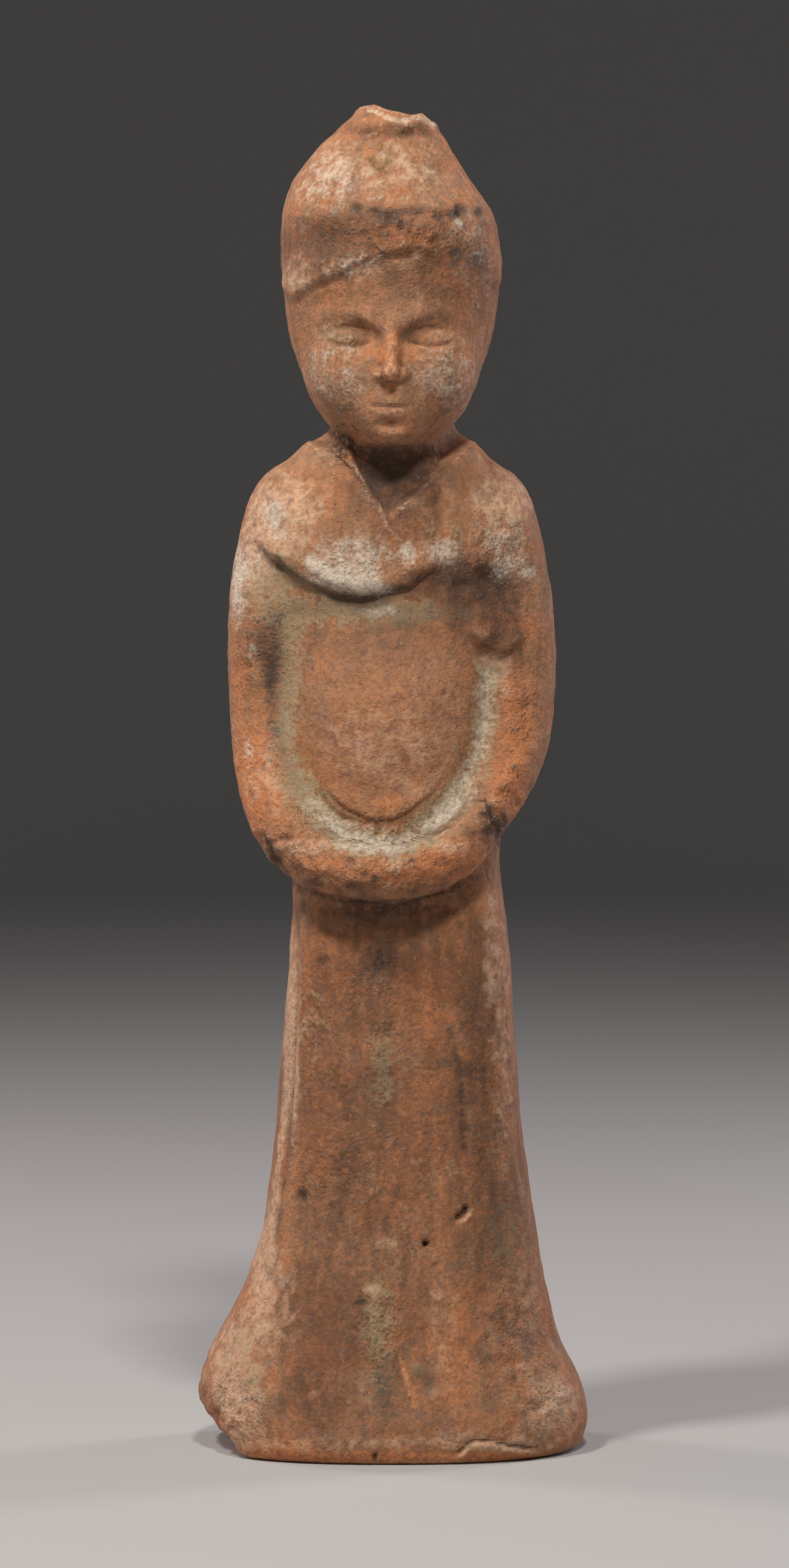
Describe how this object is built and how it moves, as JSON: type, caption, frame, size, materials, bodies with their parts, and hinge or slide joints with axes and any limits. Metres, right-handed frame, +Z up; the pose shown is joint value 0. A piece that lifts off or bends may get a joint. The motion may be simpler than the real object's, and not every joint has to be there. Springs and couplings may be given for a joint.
{
  "type": "terracotta court lady figure",
  "caption": "Standing fired-clay lady in a long flared robe and shoulder cape, hands joined in her sleeves, hair swept up to a broken topknot; rests on its flat underside.",
  "frame": {"origin": "middle of the flat underside of the hem", "axes": "+Z up from the hem to the topknot, -Y the way the figure faces, +X towards the figure's left hand"},
  "size_m": [0.087, 0.0601, 0.2999],
  "materials": {
    "fired_clay": "matt unglazed terracotta with worn white slip, soil stains and burial deposit"
  },
  "bodies": {
    "root": {"court_lady_figure": "fired_clay"}
  },
  "joints": []
}
